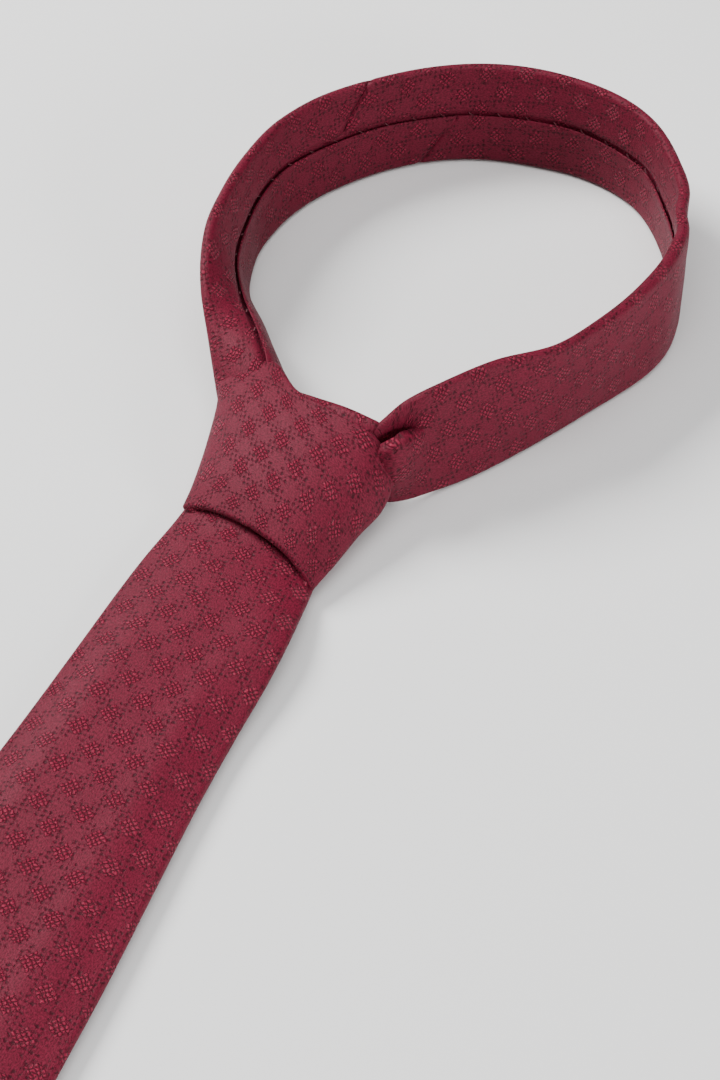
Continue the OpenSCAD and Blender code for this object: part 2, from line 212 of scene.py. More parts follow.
def jacquard():
    """Satin with houndstooth checks of raised floats, woven on the bias."""
    s = Shade("jacquard")
    cloth = s.cloth()
    wander = s.noise(cloth, 900, 2.0, 0.6)
    stray = s.noise(cloth, 640, 2.0, 0.6)
    across, along = s.parts(cloth)
    long_way, short_way = math.cos(BIAS) / FLOAT_PITCH, math.sin(BIAS) / FLOAT_PITCH
    a = s.math("MULTIPLY_ADD", along, long_way, s.math("MULTIPLY", across, short_way))
    b = s.math("MULTIPLY_ADD", along, short_way, s.math("MULTIPLY", across, -long_way))
    a = s.math("MULTIPLY_ADD", wander, WEAVE_WANDER, a)
    b = s.math("MULTIPLY_ADD", stray, WEAVE_WANDER, b)
    a_cell, b_cell = s.math("FLOOR", a), s.math("FLOOR", b)
    a_in = s.math("SUBTRACT", s.math("FRACT", a), 0.5)
    b_in = s.math("SUBTRACT", s.math("FRACT", b), 0.5)
    half = REPEAT_FLOATS / 2 - 0.5
    a_half = s.math("LESS_THAN", s.math("FLOORED_MODULO", a_cell, REPEAT_FLOATS), half)
    b_half = s.math("LESS_THAN", s.math("FLOORED_MODULO", b_cell, REPEAT_FLOATS), half)
    check = s.math("MULTIPLY", a_half, b_half)
    between = s.math("ABSOLUTE", s.math("SUBTRACT", a_half, b_half))
    chequer = s.math("LESS_THAN", s.math("FLOORED_MODULO", s.math("ADD", a_cell, b_cell), 2), 1)
    tooth = s.math("MULTIPLY", between, chequer)
    a_dome = s.math("SUBTRACT", 1, s.math("MULTIPLY", s.math("MULTIPLY", a_in, a_in), 4.0))
    b_dome = s.math("SUBTRACT", 1, s.math("MULTIPLY", s.math("MULTIPLY", b_in, b_in), 4.0))
    dome = s.math("MULTIPLY", s.math("MAXIMUM", a_dome, 0), s.math("MAXIMUM", b_dome, 0))
    fine = s.noise(s.stretched(cloth, (2600, 1300, 1)), 1.0, 3.0, 0.75)
    speckle = s.noise(cloth, 1700, 3.0, 0.8)
    broad = s.noise(cloth, 55, 3.0, 0.5)
    satin = s.mix(s.spread(fine, -1.5, 2.3), SATIN, SATIN_SHADE)
    satin = s.mix(s.spread(broad, -0.1, 0.3), satin, SATIN_SHADE)
    # Each float is painted from shadow in the gaps round it to a highlight on its top: painted shading of
    # its dome over the thread's colour
    floats = s.mix(s.math("POWER", dome, 0.9), FLOAT_GAP_SHADOW, FLOAT_THREAD_AND_HIGHLIGHT)
    colour = s.mix(s.math("MULTIPLY", check, s.spread(speckle, 0.2, 1.2)), satin, floats)
    patchy = s.spread(s.noise(cloth, 700, 2.0, 0.6), -2.2, 3.6)
    marks = s.math("MINIMUM", s.math("MAXIMUM", patchy, 0), MARK_LIMIT)
    # The houndstooth's teeth are small dents painted near black with the gaps' colour: painted shadow
    shaded_dent = s.math("MULTIPLY", tooth, s.math("MULTIPLY", dome, marks))
    colour = s.mix(shaded_dent, colour, FLOAT_GAP_SHADOW)
    thread = s.bump(s.math("ADD", fine, s.math("MULTIPLY", speckle, 0.6)), GRAIN_HEIGHT)
    raised = s.math("MULTIPLY", check, s.spread(dome, -0.3, 1.0))
    raised = s.math("SUBTRACT", raised, s.math("MULTIPLY", shaded_dent, 0.7))
    normal = s.bump(raised, FLOAT_HEIGHT, thread)
    roughness = s.math("ADD", s.spread(fine, 0.5, 0.64), s.math("MULTIPLY", check, -0.06))
    return s.finish(colour, roughness, normal, Sheen_Weight=0.03, Sheen_Roughness=0.4, Sheen_Tint=SHEEN_TINT,
                    Specular_IOR_Level=0.135)


# Colours of the twill's grooves and crests, which paint the shading of its ribs
LINING_DARK, LINING_LIGHT = (0.088, 0.008, 0.018, 1), (0.15, 0.013, 0.03, 1)
LINING_RIB = 0.45 * MM


def twill_lining():
    """Plain fine twill, as the lining of the points."""
    s = Shade("lining_twill")
    cloth = s.cloth()
    across, along = s.parts(cloth)
    ribs = s.math("SINE", s.math("MULTIPLY", s.math("ADD", across, along), 2 * math.pi / LINING_RIB))
    ribs = s.spread(ribs, 0.5, 1.0)
    fine = s.noise(s.stretched(cloth, (4200, 1500, 1)), 1.0, 2.0, 0.6)
    broad = s.noise(cloth, 60, 2.0, 0.5)
    # The colour follows the ribs: lighter on their crests and darker in the grooves between them, painted
    # shading of the twill's relief, varied at random by broad noise
    colour = s.mix(s.math("MULTIPLY", ribs, s.spread(broad, 0.4, 1.0)), LINING_DARK, LINING_LIGHT)
    normal = s.bump(ribs, 0.05 * MM, s.bump(fine, 0.03 * MM))
    return s.finish(colour, s.spread(fine, 0.34, 0.5), normal, Sheen_Weight=0.2, Sheen_Roughness=0.35,
                    Sheen_Tint=SHEEN_TINT, Specular_IOR_Level=0.45)


WOOL_DARK, WOOL_LIGHT = (0.42, 0.37, 0.28, 1), (0.72, 0.67, 0.56, 1)
WOOL_WEAVE = 0.9 * MM


def brushed_wool():
    """The off-white brushed wool of the interlining."""
    s = Shade("interlining_wool")
    cloth = s.cloth()
    across, along = s.parts(cloth)
    rows = s.math("SINE", s.math("MULTIPLY", along, 2 * math.pi / WOOL_WEAVE))
    columns = s.math("SINE", s.math("MULTIPLY", across, 2 * math.pi / WOOL_WEAVE))
    weave = s.spread(s.math("MULTIPLY", rows, columns), 0.5, 1.0)
    fuzz = s.noise(cloth, 1800, 4.0, 0.7)
    broad = s.noise(cloth, 80, 2.0, 0.5)
    colour = s.mix(s.math("MULTIPLY", fuzz, s.spread(broad, 0.6, 1.3)), WOOL_DARK, WOOL_LIGHT)
    normal = s.bump(fuzz, 0.12 * MM, s.bump(weave, 0.1 * MM))
    return s.finish(colour, s.spread(fuzz, 0.8, 0.98), normal, Sheen_Weight=0.4, Sheen_Roughness=0.6,
                    Specular_IOR_Level=0.2)


# Colours of the thread's grooves and plies, which paint the shading of its twist
THREAD_DARK, THREAD_LIGHT = (0.07, 0.006, 0.014, 1), (0.22, 0.018, 0.04, 1)
THREAD_TURN = 0.5 * MM
THREAD_ROUND = 0.6 * MM


def spun_thread():
    """Twisted silk thread."""
    s = Shade("spun_thread")
    cloth = s.cloth()
    across, along = s.parts(cloth)
    turns = s.math("ADD", s.math("MULTIPLY", along, 2 * math.pi / THREAD_TURN),
                   s.math("MULTIPLY", across, 2 * math.pi / THREAD_ROUND))
    twist = s.spread(s.math("SINE", turns), 0.5, 1.0)
    fuzz = s.noise(cloth, 3000, 2.0, 0.6)
    # The colour follows the twist: lighter on the plies and darker in the grooves between them, painted
    # shading of the thread's relief, with random fuzz
    colour = s.mix(s.math("MULTIPLY", twist, s.spread(fuzz, 0.5, 1.1)), THREAD_DARK, THREAD_LIGHT)
    normal = s.bump(twist, 0.08 * MM, s.bump(fuzz, 0.02 * MM))
    return s.finish(colour, s.spread(fuzz, 0.38, 0.6), normal, Sheen_Weight=0.2, Sheen_Roughness=0.4,
                    Specular_IOR_Level=0.4)


def matt_floor():
    """Plain matt paper."""
    s = Shade("floor_paper")
    place = s.tree.nodes.new("ShaderNodeTexCoord").outputs["Object"]
    grain = s.noise(place, 900, 2.0, 0.5)
    colour = s.mix(grain, tuple(0.985 * c for c in FLOOR_COLOUR) + (1,), FLOOR_COLOUR + (1,))
    return s.finish(colour, 0.9, s.bump(grain, 0.01 * MM), Specular_IOR_Level=0.1)


JACQUARD = jacquard()
LINING = twill_lining()
WOOL = brushed_wool()
THREAD = spun_thread()

bpy.ops.mesh.primitive_plane_add(size=FLOOR_SIZE)
floor = bpy.context.object
floor.name = "studio_floor"
floor.data.materials.append(matt_floor())


# ---- curves and surfaces ----


def ease(t):
    """A smooth step from 0 to 1 as t goes from 0 to 1."""
    t = np.clip(t, 0, 1)
    return t * t * (3 - 2 * t)


def bump_at(x, middle, reach):
    """A smooth bump of height 1 at middle that ends at reach from it."""
    return ease(1 - np.abs(np.asarray(x) - middle) / reach)


def blend_of(a, b, c, d, t):
    """A Catmull-Rom curve from b to c, by share t of the way."""
    square, cube = 2 * a - 5 * b + 4 * c - d, 3 * b - a - 3 * c + d
    return 0.5 * (2 * b + (c - a) * t + square * t * t + cube * t ** 3)


def rail(points, share):
    """A smooth curve through points, by share of the way from the second to the last but one."""
    runs = len(points) - 3
    at = np.clip(share, 0, 1) * runs
    i = np.minimum(np.floor(at).astype(int), runs - 1)
    t = (at - i)[..., None]
    a, b, c, d = (points[i + k] for k in range(4))
    return blend_of(a, b, c, d, t)


def through(xs, ys, x):
    """A smooth curve through a table's values, at x."""
    xs, ys = np.asarray(xs, float), np.asarray(ys, float)
    slopes = np.gradient(ys, xs)
    x = np.clip(x, xs[0], xs[-1])
    i = np.clip(np.searchsorted(xs, x, side="right") - 1, 0, len(xs) - 2)
    w = xs[i + 1] - xs[i]
    t = (x - xs[i]) / w
    return (ys[i] * (2 * t ** 3 - 3 * t ** 2 + 1) + slopes[i] * w * (t ** 3 - 2 * t ** 2 + t)
            + ys[i + 1] * (3 * t ** 2 - 2 * t ** 3) + slopes[i + 1] * w * (t ** 3 - t ** 2))


def padded_ends(net, axis):
    """A net with one more row at each end, in line with the last two."""
    net = np.moveaxis(net, axis, 0)
    net = np.concatenate([2 * net[:1] - net[1:2], net, 2 * net[-1:] - net[-2:-1]])
    return np.moveaxis(net, 0, axis)


def net_surface(net):
    """A smooth surface through a net of points, by share along its columns and by -1 to 1 across."""
    net = padded_ends(padded_ends(np.array(net, float), 0), 1)

    def surface(share, f):
        share, f = np.broadcast_arrays(np.asarray(share, float), np.asarray(f, float))
        u = np.clip(share, 0, 1) * (net.shape[0] - 3)
        v = np.clip((f + 1) / 2, 0, 1) * (net.shape[1] - 3)
        i = np.minimum(np.floor(u).astype(int), net.shape[0] - 4)
        j = np.minimum(np.floor(v).astype(int), net.shape[1] - 4)
        s, t = (u - i)[..., None], (v - j)[..., None]
        rows = [blend_of(*(net[i + k, j + m] for m in range(4)), t) for k in range(4)]
        return blend_of(*rows, s)

    return surface


def normals_of(surface, s, f, step=0.004):
    """The outward side of a surface at s and f."""
    along = surface(s + step, f) - surface(s - step, f)
    across = surface(s, np.clip(f + step, -1, 1)) - surface(s, np.clip(f - step, -1, 1))
    n = np.cross(along, across)
    return n / np.maximum(np.linalg.norm(n, axis=-1, keepdims=True), 1e-9)


def spans(surface, s, count=33):
    """Half the width of a surface at each s."""
    f = np.linspace(-1, 1, count)
    p = surface(s[:, None], f[None])
    return np.linalg.norm(np.diff(p, axis=1), axis=-1).sum(1) / 2


def lengths(surface, s):
    """The distance along a surface's middle at each s."""
    p = surface(s, np.zeros_like(s))
    return np.concatenate([[0], np.cumsum(np.linalg.norm(np.diff(p, axis=0), axis=-1))])


def summed(width, along):
    """The area of a strip of that width along its length."""
    return float(np.sum((width[1:] + width[:-1]) / 2 * np.diff(along)))


# ---- meshes ----

CLOTH_T = 0.42


def mesh_object(name, points, faces, cloth, material):
    """An object of points in the knot's frame, with the cloth's own coordinates and a material."""
    mesh = bpy.data.meshes.new(name)
    mesh.from_pydata(placed(points).tolist(), [], faces.tolist())
    corner = np.zeros(len(mesh.loops), np.int32)
    mesh.loops.foreach_get("vertex_index", corner)
    uv = mesh.uv_layers.new(name="cloth")
    uv.data.foreach_set("uv", (cloth[corner] * MM).ravel())
    mesh.polygons.foreach_set("use_smooth", np.ones(len(mesh.polygons), bool))
    mesh.materials.append(material)
    mesh.validate()
    piece = bpy.data.objects.new(name, mesh)
    bpy.context.scene.collection.objects.link(piece)
    return piece


def grid_faces(rows, columns, closed=False):
    """The faces of a grid of points, and round from the last column to the first where it is closed."""
    i, j = np.meshgrid(np.arange(rows - 1), np.arange(columns if closed else columns - 1), indexing="ij")
    i, j = i.ravel(), j.ravel()
    k = (j + 1) % columns
    return np.stack([i * columns + j, (i + 1) * columns + j, (i + 1) * columns + k, i * columns + k], 1)


def with_thickness(piece, thickness=CLOTH_T):
    """Gives a sheet its cloth's thickness, on its inner side."""
    modifier = piece.modifiers.new("thickness", "SOLIDIFY")
    modifier.thickness = thickness * MM
    modifier.offset = -1
    bpy.context.view_layer.update()
    seen = piece.evaluated_get(bpy.context.evaluated_depsgraph_get())
    mesh = bpy.data.meshes.new_from_object(seen)
    piece.modifiers.clear()
    piece.data = mesh
    return piece


FRONT_STEPS = 34
EDGE_STEPS = 9
BACK_STEPS = 17
ROLL_STEPS = 5
HEM_STEPS = 3
ROLL_R = 0.45
SMALLEST_GAP = 0.02


def folded_section(half, thick, gap, hem=5.0, roll=ROLL_R, lap=0.0):
    """The cloth's path round a strip folded flat: from a raw edge turned under at the back's middle,
    out along the back, round the left edge, across the front and back the same way on the right.
    The first flap reaches lap further across than the last. Returns the distance across and the height
    out of the strip's middle, for each section."""
    half = np.asarray(half, float)[:, None]
    # Thickness, roll, gap and hem all give way where the strip is narrow
    thick = np.minimum(np.broadcast_to(np.asarray(thick, float).reshape(-1, 1), half.shape), 0.45 * half)
    roll = np.minimum(roll, 0.16 * half)
    gap = np.broadcast_to(np.asarray(gap, float).reshape(-1, 1), half.shape)
    gap = np.clip(gap, SMALLEST_GAP, np.maximum(0.9 * (half - thick) - roll, SMALLEST_GAP))
    hem = np.minimum(hem, 0.7 * (half - thick - roll - gap))
    flat = half - thick
    turn = np.linspace(0, math.pi, EDGE_STEPS + 2)[1:-1][None]
    edge = (flat + thick * np.sin(turn), thick * np.cos(turn))
    t = np.linspace(0, 1, BACK_STEPS)[None]
    back = (flat + (gap + roll - flat) * t, -thick * np.ones_like(t))
    lap_share = np.concatenate([np.zeros(EDGE_STEPS), t[0] ** 2, np.ones(ROLL_STEPS + HEM_STEPS)])[None]
    turn = np.linspace(0, math.pi, ROLL_STEPS + 2)[1:-1][None]
    rolled = (gap + roll - roll * np.sin(turn), -thick + roll - roll * np.cos(turn))
    t = np.linspace(0, 1, HEM_STEPS)[None]
    under = (gap + roll + hem * t, (2 * roll - thick) * np.ones_like(t))
    across = np.concatenate([edge[0], back[0], rolled[0], under[0]], 1)
    out = np.concatenate([edge[1], back[1], rolled[1], under[1]], 1)
    t = np.linspace(-1, 1, FRONT_STEPS + 1)[None]
    front = (flat * t, thick * np.ones_like(t))
    first = across - lap * lap_share
    return (np.concatenate([-first[:, ::-1], front[0], across], 1),
            np.concatenate([out[:, ::-1], front[1], out], 1))


def cloth_across(across, out):
    """The distance across the cloth itself, from the middle of its front, along each section."""
    steps = np.hypot(np.diff(across, axis=1), np.diff(out, axis=1))
    total = np.concatenate([np.zeros((len(across), 1)), np.cumsum(steps, axis=1)], 1)
    return total - total[:, total.shape[1] // 2][:, None]


def strip(name, surface, s, section, ripple=None, shear=None, start=0.0, inset=0.0):
    """A folded strip of cloth along a surface. ripple(along, across, out) moves it in or out,
    shear(along) slants its ends, start is where the cloth's own pattern begins and inset sets it in
    from the surface."""
    across, out = section
    f = np.clip(across / spans(surface, s)[:, None], -1, 1)
    u = cloth_across(across, out)
    along = lengths(surface, s)
    rate = np.gradient(s, along)
    stations = np.broadcast_to(s[:, None], f.shape).copy()
    v = np.broadcast_to(along[:, None], f.shape).copy()
    if shear is not None:
        slant = shear(along)[:, None] * u
        stations += slant * rate[:, None]
        v += slant
    points = surface(stations, f)
    normal = normals_of(surface, stations, f)
    height = out - inset
    if ripple is not None:
        height = height + ripple(v, across, out)
    points = points + normal * height[..., None]
    cloth = np.stack([u, v + start], -1)
    piece = mesh_object(name, points.reshape(-1, 3), grid_faces(*f.shape), cloth.reshape(-1, 2), JACQUARD)
    piece["flat_mm2"] = summed(u[:, -1] - u[:, 0], along)
    return with_thickness(piece)


CORE_STEPS = 30


def core(name, surface, s, inset, low, high, material):
    """A flat layer inside a folded strip, closed all round, that stops inset from the strip's edges
    and lies from low to high out of its middle."""
    half = spans(surface, s)
    along = lengths(surface, s)
    reach = np.maximum(half - inset, 0.25)[:, None]
    t = np.linspace(-1, 1, CORE_STEPS)[None]
    plump = 0.15 + 0.85 * (1 - np.abs(t) ** 12)
    middle, thick = (low + high) / 2, (high - low) / 2
    across = np.concatenate([reach * t, reach * t[:, ::-1]], 1)
    out = middle + thick * np.concatenate([plump, -plump], 1)
    out = np.broadcast_to(out, across.shape)
    f = np.clip(across / half[:, None], -1, 1)
    stations = np.broadcast_to(s[:, None], f.shape)
    points = surface(stations, f) + normals_of(surface, stations, f) * out[..., None]
    v = np.broadcast_to(along[:, None], f.shape)
    rows, columns = f.shape
    faces = grid_faces(rows, columns, closed=True)
    j = np.arange(CORE_STEPS - 1)
    far = columns - 1 - j
    cap = np.stack([j, j + 1, far - 1, far], 1)
    faces = np.concatenate([faces, cap, cap[:, ::-1] + (rows - 1) * columns])
    cloth = np.stack([across, v], -1)
    piece = mesh_object(name, points.reshape(-1, 3), faces, cloth.reshape(-1, 2), material)
    piece["flat_mm2"] = summed(2 * reach[:, 0], along)
    return piece


TUBE_SIDES = 8
# A direction that no thread runs along
OFF_THREAD = (0.31, 0.22, 0.92)


def tubes(name, paths, radii, material):
    """Round threads along paths of points, as one piece, closed at their ends."""
    all_points, all_faces, all_cloth, base = [], [], [], 0
    for path, radius in zip(paths, radii):
        path = np.asarray(path, float)
        tangent = np.gradient(path, axis=0)
        tangent /= np.linalg.norm(tangent, axis=1, keepdims=True)
        side = np.cross(tangent, OFF_THREAD)
        side /= np.linalg.norm(side, axis=1, keepdims=True)
        other = np.cross(tangent, side)
        turn = np.linspace(0, 2 * math.pi, TUBE_SIDES, endpoint=False)
        ring = side[:, None] * np.cos(turn)[None, :, None] + other[:, None] * np.sin(turn)[None, :, None]
        r = np.broadcast_to(np.asarray(radius, float), (len(path),))
        points = path[:, None] + ring * r[:, None, None]
        along = np.concatenate([[0], np.cumsum(np.linalg.norm(np.diff(path, axis=0), axis=1))])
        cloth = np.stack(np.broadcast_arrays(turn[None] * r[:, None], along[:, None]), -1)
        faces = grid_faces(len(path), TUBE_SIDES, closed=True)[:, ::-1]
        ends = np.arange(TUBE_SIDES // 2 - 1)
        cap = np.stack([ends, ends + 1, TUBE_SIDES - 2 - ends, TUBE_SIDES - 1 - ends], 1)
        faces = np.concatenate([faces, cap[:, ::-1], cap + (len(path) - 1) * TUBE_SIDES])
        all_points.append(points.reshape(-1, 3))
        all_cloth.append(cloth.reshape(-1, 2))
        all_faces.append(faces + base)
        base += points.shape[0] * TUBE_SIDES
    points, faces, cloth = (np.concatenate(part) for part in (all_points, all_faces, all_cloth))
    return mesh_object(name, points, faces, cloth, material)


# A stitch's thickness, its points, and how far it leans along the seam and stands off it
STITCH_R = 0.17
STITCH_STEPS = 9
STITCH_LEAN = 1.6
STITCH_LIFT = 0.28


def seam_stitches(name, surface, s, depth, pitch=7.0, reach=0.95):
    """Slip stitches over a seam along the back of a strip, depth behind its middle: short slanting
    threads from flap to flap."""
    along = lengths(surface, s)
    half = spans(surface, s)
    paths = []
    t = np.linspace(-1, 1, STITCH_STEPS)
    lift = STITCH_LIFT * (1 - t ** 4)
    for at in np.arange(pitch, along[-1] - pitch / 2, pitch):
        v = at + STITCH_LEAN * t / 2
        here = np.interp(v, along, s)
        f = reach * t / np.interp(v, along, half)
        paths.append(surface(here, f) + normals_of(surface, here, f) * -(depth + lift)[:, None])
    return tubes(name, paths, [STITCH_R] * len(paths), THREAD)


BAR_LENGTH = 7.0
BAR_R = 0.42
BAR_STEPS = 57
BAR_WRAPS = 14


def bar_tack(name, middle):
    """A short bar of thread across the tie, wrapped round and round."""
    t = np.linspace(-1, 1, BAR_STEPS)
    path = middle + t[:, None] * np.array([BAR_LENGTH / 2, 0, 0])
    wraps = 0.82 + 0.18 * np.abs(np.sin(t * BAR_WRAPS * math.pi / 2))
    radius = BAR_R * wraps * np.sqrt(np.maximum(1 - t ** 8, 0.1))
    return tubes(name, [path], [radius], THREAD)


# ---- blade ----

# Distances down the tie from the knot's lower edge, and the blade's left and right edges there
BLADE_D = (-16, 0, 14, 28, 40, 60, 82, 111, 140, 157, 250, 340, 429)
BLADE_LEFT = (-19.4, -20.6, -22.0, -22.7, -23.1, -23.8, -24.6, -26.3, -28.6, -29.9, -35.2, -38.9, -41.0)
BLADE_RIGHT = (22.0, 22.8, 25.2, 27.3, 28.0, 27.8, 28.6, 30.7, 32.8, 33.6, 37.0, 39.6, 41.0)
BLADE_WIDEST = 429
BLADE_END = 470
BLADE_HALF = 41
TIP_HALF = 0.8
BLADE_THICK = 1.65
# How high the blade's middle stands over its edges, how much more inside the knot, and over what
# distance each of them fades
BLADE_CROWN = 5.3
CROWN_IN_KNOT = 6.0
CROWN_FADE = 26
# The blade's right side rolls up, most of all just below the knot
RIGHT_ROLL, KNOT_ROLL = 2.2, 2.0
# How high the cloth waves in the blade's middle and along its edges
MIDDLE_WAVE, EDGE_WAVE = 0.25, 0.3
BLADE_OFF_FLOOR = 0.12
# Where the V opening starts, the width of cloth beside it, and half the gap between the flaps above it
V_APEX = 396
V_BORDER = 9.5
SEAM_GAP = 0.14
TAIL_END = 370
TAIL_PULL = 40


def blade_edges(d):
    to_tip = np.clip((d - BLADE_WIDEST) / (BLADE_END - BLADE_WIDEST), 0, 1)
    narrow = 1 - to_tip * (1 - TIP_HALF / BLADE_HALF)
    return through(BLADE_D, BLADE_LEFT, d) * narrow, through(BLADE_D, BLADE_RIGHT, d) * narrow


def blade_surface(share, f):
    """The middle of the blade's thickness, by share of its length from inside the knot and across it."""
    share, f = np.broadcast_arrays(np.asarray(share, float), np.asarray(f, float))
    d = BLADE_D[0] + share * (BLADE_END - BLADE_D[0])
    left, right = blade_edges(d)
    x = (left + right) / 2 + f * (right - left) / 2
    crown = BLADE_CROWN * (1 - ease((d - TAIL_END - TAIL_PULL - 4) / CROWN_FADE))
    crown = crown - 0.5 * bump_at(d, 0, 40)
    crown = crown + CROWN_IN_KNOT * ease((4 - d) / CROWN_FADE)
    roll = KNOT_ROLL * bump_at(d, 30, 34) + RIGHT_ROLL * ease(d / 30) * ease((300 - d) / 150)
    roll = roll * ease((f - 0.2) / 0.8)
    # Level over the tail with sloping sides, and rounder near the knot
    level = 1 - ease((np.abs(f) - 0.42) / 0.58)
    rounded = 1 - np.abs(f - 0.12 * (1 - f * f)) ** 2.1
    profile = level + (rounded - level) * ease((70 - d) / 50)
    wave = MIDDLE_WAVE * np.sin(d / 23 + 1.3 * f) * ease(1 - np.abs(f))
    wave = wave + EDGE_WAVE * np.sin(d / 41 + 2) * np.abs(f) ** 3 * ease(d / 40)
    wave = np.maximum(wave, -0.1 * np.abs(f)) * ease((430 - d) / 40)
    z = BLADE_THICK + BLADE_OFF_FLOOR + crown * profile + roll + wave
    return np.stack([x, -d, z], -1)


def blade_share(d):
    return (d - BLADE_D[0]) / (BLADE_END - BLADE_D[0])


def shares(start, end, step):
    """Even steps of about that size from start to end."""
    return np.linspace(start, end, max(4, int(round(abs(end - start) / step)) + 1))


blade_d = np.concatenate([shares(BLADE_D[0], 420, 2.6), shares(421.5, BLADE_END - 0.4, 1.2)])
blade_s = blade_share(blade_d)
blade_half = spans(blade_surface, blade_s)
blade_open = ease((blade_d - V_APEX) / (BLADE_WIDEST - V_APEX)) * (blade_half - V_BORDER)
blade_open = np.maximum(blade_open, SEAM_GAP)
blade_section = folded_section(blade_half, BLADE_THICK, blade_open, hem=6, roll=0.35)
blade_cloth = strip("blade_cloth", blade_surface, blade_s, blade_section, start=2.0)
core_d = np.concatenate([shares(10, 424, 4), shares(426, 463, 2)])
blade_wool = core("blade_wool", blade_surface, blade_share(core_d),
                  inset=2.0, low=-0.12, high=1.15, material=WOOL)
tip_d = np.concatenate([shares(V_APEX - 14, 424, 2.5), shares(426, 464, 1.5)])
blade_tipping = core("blade_lining", blade_surface, blade_share(tip_d),
                     inset=2.2, low=-0.52, high=-0.2, material=LINING)
seam_d = shares(16, V_APEX - 4, 3)
blade_seam = seam_stitches("blade_seam_thread", blade_surface, blade_share(seam_d), BLADE_THICK)
blade_apex = blade_surface(blade_share(V_APEX - 1.0), 0.0)
blade_bar = bar_tack("blade_bar_thread", blade_apex - (0, 0, BLADE_THICK + 0.2))

KEEPER_D = 300
KEEPER_HALF_L = 21
KEEPER_HALF_W = 6
KEEPER_THICK = 0.6
# How far the keeper's middle lies off the blade's back at its ends, and how much more between them
KEEPER_OFF, KEEPER_SLACK = 0.85, 0.35
# About half the blade's width under the keeper
HALF_AT_KEEPER = 38


def keeper_surface(share, f):
    """The middle of the keeper's thickness, across the blade's back."""
    share, f = np.broadcast_arrays(np.asarray(share, float), np.asarray(f, float))
    t = 2 * share - 1
    under = blade_surface(blade_share(KEEPER_D), t * KEEPER_HALF_L / HALF_AT_KEEPER)
    z = under[..., 2] - BLADE_THICK - KEEPER_OFF - KEEPER_SLACK * (1 - t ** 4)
    return np.stack([t * KEEPER_HALF_L, -KEEPER_D - KEEPER_HALF_W * f, z], -1)


keeper_s = shares(0, 1, 0.03)
keeper_section = folded_section(spans(keeper_surface, keeper_s), KEEPER_THICK, 0.1, hem=2.5, roll=0.25)
keeper = strip("keeper_cloth", keeper_surface, keeper_s, keeper_section, start=31.0)

ROW_STITCHES = 6
ROW_HALF = 5


def keeper_rows():
    """A row of short stitches over each end of the keeper."""
    t = np.linspace(-1, 1, 7)
    over = -0.62 - 0.25 * (1 - t ** 2)
    paths = []
    for side in (-1, 1):
        stitch = np.stack([side * (0.9 * t - 0.5), np.zeros_like(t), over], -1)
        for step in np.linspace(-ROW_HALF, ROW_HALF, ROW_STITCHES):
            paths.append(keeper_surface(0.5 + side * 0.5, step / KEEPER_HALF_W) + stitch)
    return paths


rows = keeper_rows()
keeper_tacks = tubes("keeper_threads", rows, [STITCH_R] * len(rows), THREAD)

# ---- tail ----

TAIL_THICK = 1.42
TAIL_WIDEST = 348
TAIL_HALF, TAIL_TOP_HALF = 22, 16
# Where the tail starts inside the knot, where it starts to widen and where its V opening starts
TAIL_D0 = -34
TAIL_WIDENS = 7
TAIL_V = 318
TAIL_BORDER = 7
TAIL_OFF_FLOOR = 0.1
# How far the tail rises into the knot, and how much narrower it is there
TAIL_RISE, TAIL_PINCH = 3.6, 2.2


def tail_surface(share, f):
    """The middle of the tail's thickness, by share of its length from inside the knot and across it."""
    share, f = np.broadcast_arrays(np.asarray(share, float), np.asarray(f, float))
    d = TAIL_D0 + share * (TAIL_END - TAIL_D0)
    widening = np.clip((d - TAIL_WIDENS) / (TAIL_WIDEST - TAIL_WIDENS), 0, 1)
    to_tip = np.maximum((d - TAIL_WIDEST) / (TAIL_END - TAIL_WIDEST), 0)
    half = TAIL_TOP_HALF + (TAIL_HALF - TAIL_TOP_HALF) * widening - (TAIL_HALF - TIP_HALF) * to_tip
    half = half - TAIL_PINCH * ease(-d / 14)
    rise = TAIL_RISE * ease((14 - d) / 22)
    wave = 0.12 * np.sin(d / 17) * f ** 2
    z = TAIL_THICK + TAIL_OFF_FLOOR + rise + np.abs(wave) + 0.8 * ease(-d / 30) * (1 - f * f)
    return np.stack([f * half + 2.0 * ease(-d / 20), -d, z], -1)


def tail_share(d):
    return (d - TAIL_D0) / (TAIL_END - TAIL_D0)


tail_d = np.concatenate([shares(TAIL_D0, 340, 2.6), shares(341.5, TAIL_END - 0.3, 1.2)])
tail_s = tail_share(tail_d)
tail_half = spans(tail_surface, tail_s)
tail_open = ease((tail_d - TAIL_V) / (TAIL_WIDEST - TAIL_V)) * (tail_half - TAIL_BORDER)
tail_open = np.maximum(tail_open, SEAM_GAP)
tail_section = folded_section(tail_half, TAIL_THICK, tail_open, hem=5, roll=0.3)
tail_cloth = strip("tail_cloth", tail_surface, tail_s, tail_section, start=5.5)
core_d = np.concatenate([shares(0, 342, 4), shares(344, 365, 2)])
tail_wool = core("tail_wool", tail_surface, tail_share(core_d),
                 inset=1.8, low=-0.12, high=0.95, material=WOOL)
tip_d = np.concatenate([shares(TAIL_V - 10, 344, 2.5), shares(345, 366, 1.5)])
tail_tipping = core("tail_lining", tail_surface, tail_share(tip_d),
                    inset=2.0, low=-0.5, high=-0.2, material=LINING)
seam_d = shares(16, TAIL_V - 4, 3)
tail_seam = seam_stitches("tail_seam_thread", tail_surface, tail_share(seam_d), TAIL_THICK - 0.32, reach=0.8)
tail_apex = tail_surface(tail_share(TAIL_V - 1.0), 0.0)
tail_bar = bar_tack("tail_bar_thread", tail_apex - (0, 0, TAIL_THICK - 0.35))

# ---- neck loop ----

